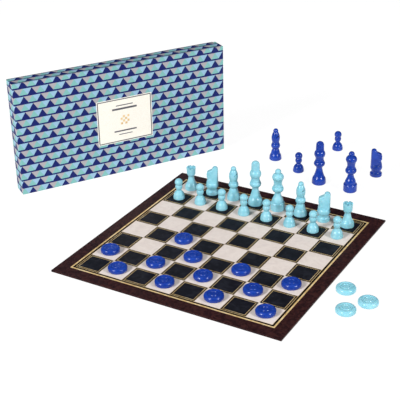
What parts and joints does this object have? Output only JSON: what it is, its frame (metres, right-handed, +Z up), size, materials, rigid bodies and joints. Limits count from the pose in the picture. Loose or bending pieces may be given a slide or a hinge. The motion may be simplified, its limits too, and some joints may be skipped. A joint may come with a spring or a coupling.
{
  "type": "chess and checkers set",
  "caption": "Chess and checkers set: folding board laid open with moulded men on it and beside it, and the closed card box with its tray standing behind.",
  "frame": {"origin": "middle of the open board's underside, on the table", "axes": "+Z up; +X along the box's long side, to the right; +Y away from the viewer, from the board to the box"},
  "size_m": [0.5924, 0.5892, 0.1886],
  "materials": {
    "aqua_plastic": "glossy moulded",
    "blue_plastic": "glossy moulded",
    "greyboard": "pressed grey board",
    "printed_sheet": "glossy printed",
    "backing_sheet": "matte",
    "hinge_cloth": "book cloth",
    "lid_card": "printed paper wrap",
    "base_card": "dyed paper wrap",
    "tray_card": "white-lined card",
    "label_paper": "uncoated"
  },
  "bodies": {
    "board_left": {"board_core_left": "greyboard", "board_print_left": "printed_sheet", "board_backing_left": "backing_sheet", "hinge_cloth_left": "hinge_cloth"},
    "board_right": {"board_core_right": "greyboard", "board_print_right": "printed_sheet", "board_backing_right": "backing_sheet", "hinge_cloth_right": "hinge_cloth"},
    "aqua_rook_a": {"aqua_rook_a": "aqua_plastic"},
    "aqua_pawn_a": {"aqua_pawn_a": "aqua_plastic"},
    "aqua_knight_b": {"aqua_knight_b": "aqua_plastic"},
    "aqua_pawn_b": {"aqua_pawn_b": "aqua_plastic"},
    "aqua_bishop_c": {"aqua_bishop_c": "aqua_plastic"},
    "aqua_pawn_c": {"aqua_pawn_c": "aqua_plastic"},
    "aqua_king_d": {"aqua_king_d": "aqua_plastic"},
    "aqua_pawn_d": {"aqua_pawn_d": "aqua_plastic"},
    "aqua_queen_e": {"aqua_queen_e": "aqua_plastic"},
    "aqua_pawn_e": {"aqua_pawn_e": "aqua_plastic"},
    "aqua_bishop_f": {"aqua_bishop_f": "aqua_plastic"},
    "aqua_pawn_f": {"aqua_pawn_f": "aqua_plastic"},
    "aqua_knight_g": {"aqua_knight_g": "aqua_plastic"},
    "aqua_pawn_g": {"aqua_pawn_g": "aqua_plastic"},
    "aqua_rook_h": {"aqua_rook_h": "aqua_plastic"},
    "aqua_pawn_h": {"aqua_pawn_h": "aqua_plastic"},
    "blue_checker_b1": {"blue_checker_b1": "blue_plastic"},
    "blue_checker_d1": {"blue_checker_d1": "blue_plastic"},
    "blue_checker_f1": {"blue_checker_f1": "blue_plastic"},
    "blue_checker_h1": {"blue_checker_h1": "blue_plastic"},
    "blue_checker_a2": {"blue_checker_a2": "blue_plastic"},
    "blue_checker_c2": {"blue_checker_c2": "blue_plastic"},
    "blue_checker_e2": {"blue_checker_e2": "blue_plastic"},
    "blue_checker_g2": {"blue_checker_g2": "blue_plastic"},
    "blue_checker_d3": {"blue_checker_d3": "blue_plastic"},
    "blue_checker_f3": {"blue_checker_f3": "blue_plastic"},
    "blue_checker_h3": {"blue_checker_h3": "blue_plastic"},
    "blue_checker_c4": {"blue_checker_c4": "blue_plastic"},
    "blue_bishop": {"blue_bishop": "blue_plastic"},
    "blue_pawn_1": {"blue_pawn_1": "blue_plastic"},
    "blue_king": {"blue_king": "blue_plastic"},
    "blue_pawn_2": {"blue_pawn_2": "blue_plastic"},
    "blue_queen": {"blue_queen": "blue_plastic"},
    "blue_knight": {"blue_knight": "blue_plastic"},
    "aqua_checker_1": {"aqua_checker_1": "aqua_plastic"},
    "aqua_checker_2": {"aqua_checker_2": "aqua_plastic"},
    "aqua_checker_3": {"aqua_checker_3": "aqua_plastic"},
    "box_base": {"box_base": "base_card", "tray_floor": "tray_card", "tray_ends": "tray_card", "tray_sides": "tray_card", "tray_spine": "tray_card", "tray_dividers": "tray_card", "stored_blue_rooks": "blue_plastic", "stored_blue_knight": "blue_plastic", "stored_blue_bishop": "blue_plastic", "stored_blue_pawns": "blue_plastic", "stored_aqua_checkers": "aqua_plastic"},
    "box_lid": {"box_lid": "lid_card", "lid_label": "label_paper"}
  },
  "joints": [
    {"name": "board_fold", "type": "hinge", "parent": "board_left", "child": "board_right", "pos_m": [0, 0, 0], "axis": [0.8387, 0.5446, 0], "range_deg": [0, 180]},
    {"name": "box_lift", "type": "slide", "parent": "board_left", "child": "box_base", "axis": [0, 0, 1], "range_m": [0, 0.2]},
    {"name": "lid_pull", "type": "slide", "parent": "box_base", "child": "box_lid", "axis": [0, -1, 0], "range_m": [0, 0.042]},
    {"name": "aqua_rook_a_lift", "type": "slide", "parent": "board_left", "child": "aqua_rook_a", "axis": [0, 0, 1], "range_m": [0, 0.1]},
    {"name": "aqua_pawn_a_lift", "type": "slide", "parent": "board_left", "child": "aqua_pawn_a", "axis": [0, 0, 1], "range_m": [0, 0.1]},
    {"name": "aqua_knight_b_lift", "type": "slide", "parent": "board_left", "child": "aqua_knight_b", "axis": [0, 0, 1], "range_m": [0, 0.1]},
    {"name": "aqua_pawn_b_lift", "type": "slide", "parent": "board_left", "child": "aqua_pawn_b", "axis": [0, 0, 1], "range_m": [0, 0.1]},
    {"name": "aqua_bishop_c_lift", "type": "slide", "parent": "board_left", "child": "aqua_bishop_c", "axis": [0, 0, 1], "range_m": [0, 0.1]},
    {"name": "aqua_pawn_c_lift", "type": "slide", "parent": "board_left", "child": "aqua_pawn_c", "axis": [0, 0, 1], "range_m": [0, 0.1]},
    {"name": "aqua_king_d_lift", "type": "slide", "parent": "board_left", "child": "aqua_king_d", "axis": [0, 0, 1], "range_m": [0, 0.1]},
    {"name": "aqua_pawn_d_lift", "type": "slide", "parent": "board_left", "child": "aqua_pawn_d", "axis": [0, 0, 1], "range_m": [0, 0.1]},
    {"name": "aqua_queen_e_lift", "type": "slide", "parent": "board_right", "child": "aqua_queen_e", "axis": [0, 0, 1], "range_m": [0, 0.1]},
    {"name": "aqua_pawn_e_lift", "type": "slide", "parent": "board_right", "child": "aqua_pawn_e", "axis": [0, 0, 1], "range_m": [0, 0.1]},
    {"name": "aqua_bishop_f_lift", "type": "slide", "parent": "board_right", "child": "aqua_bishop_f", "axis": [0, 0, 1], "range_m": [0, 0.1]},
    {"name": "aqua_pawn_f_lift", "type": "slide", "parent": "board_right", "child": "aqua_pawn_f", "axis": [0, 0, 1], "range_m": [0, 0.1]},
    {"name": "aqua_knight_g_lift", "type": "slide", "parent": "board_right", "child": "aqua_knight_g", "axis": [0, 0, 1], "range_m": [0, 0.1]},
    {"name": "aqua_pawn_g_lift", "type": "slide", "parent": "board_right", "child": "aqua_pawn_g", "axis": [0, 0, 1], "range_m": [0, 0.1]},
    {"name": "aqua_rook_h_lift", "type": "slide", "parent": "board_right", "child": "aqua_rook_h", "axis": [0, 0, 1], "range_m": [0, 0.1]},
    {"name": "aqua_pawn_h_lift", "type": "slide", "parent": "board_right", "child": "aqua_pawn_h", "axis": [0, 0, 1], "range_m": [0, 0.1]},
    {"name": "blue_checker_b1_lift", "type": "slide", "parent": "board_left", "child": "blue_checker_b1", "axis": [0, 0, 1], "range_m": [0, 0.1]},
    {"name": "blue_checker_d1_lift", "type": "slide", "parent": "board_left", "child": "blue_checker_d1", "axis": [0, 0, 1], "range_m": [0, 0.1]},
    {"name": "blue_checker_f1_lift", "type": "slide", "parent": "board_right", "child": "blue_checker_f1", "axis": [0, 0, 1], "range_m": [0, 0.1]},
    {"name": "blue_checker_h1_lift", "type": "slide", "parent": "board_right", "child": "blue_checker_h1", "axis": [0, 0, 1], "range_m": [0, 0.1]},
    {"name": "blue_checker_a2_lift", "type": "slide", "parent": "board_left", "child": "blue_checker_a2", "axis": [0, 0, 1], "range_m": [0, 0.1]},
    {"name": "blue_checker_c2_lift", "type": "slide", "parent": "board_left", "child": "blue_checker_c2", "axis": [0, 0, 1], "range_m": [0, 0.1]},
    {"name": "blue_checker_e2_lift", "type": "slide", "parent": "board_right", "child": "blue_checker_e2", "axis": [0, 0, 1], "range_m": [0, 0.1]},
    {"name": "blue_checker_g2_lift", "type": "slide", "parent": "board_right", "child": "blue_checker_g2", "axis": [0, 0, 1], "range_m": [0, 0.1]},
    {"name": "blue_checker_d3_lift", "type": "slide", "parent": "board_left", "child": "blue_checker_d3", "axis": [0, 0, 1], "range_m": [0, 0.1]},
    {"name": "blue_checker_f3_lift", "type": "slide", "parent": "board_right", "child": "blue_checker_f3", "axis": [0, 0, 1], "range_m": [0, 0.1]},
    {"name": "blue_checker_h3_lift", "type": "slide", "parent": "board_right", "child": "blue_checker_h3", "axis": [0, 0, 1], "range_m": [0, 0.1]},
    {"name": "blue_checker_c4_lift", "type": "slide", "parent": "board_left", "child": "blue_checker_c4", "axis": [0, 0, 1], "range_m": [0, 0.1]},
    {"name": "blue_bishop_lift", "type": "slide", "parent": "board_left", "child": "blue_bishop", "axis": [0, 0, 1], "range_m": [0, 0.1]},
    {"name": "blue_pawn_1_lift", "type": "slide", "parent": "board_left", "child": "blue_pawn_1", "axis": [0, 0, 1], "range_m": [0, 0.1]},
    {"name": "blue_king_lift", "type": "slide", "parent": "board_left", "child": "blue_king", "axis": [0, 0, 1], "range_m": [0, 0.1]},
    {"name": "blue_pawn_2_lift", "type": "slide", "parent": "board_left", "child": "blue_pawn_2", "axis": [0, 0, 1], "range_m": [0, 0.1]},
    {"name": "blue_queen_lift", "type": "slide", "parent": "board_left", "child": "blue_queen", "axis": [0, 0, 1], "range_m": [0, 0.1]},
    {"name": "blue_knight_lift", "type": "slide", "parent": "board_left", "child": "blue_knight", "axis": [0, 0, 1], "range_m": [0, 0.1]},
    {"name": "aqua_checker_1_lift", "type": "slide", "parent": "board_left", "child": "aqua_checker_1", "axis": [0, 0, 1], "range_m": [0, 0.1]},
    {"name": "aqua_checker_2_lift", "type": "slide", "parent": "board_left", "child": "aqua_checker_2", "axis": [0, 0, 1], "range_m": [0, 0.1]},
    {"name": "aqua_checker_3_lift", "type": "slide", "parent": "board_left", "child": "aqua_checker_3", "axis": [0, 0, 1], "range_m": [0, 0.1]}
  ]
}
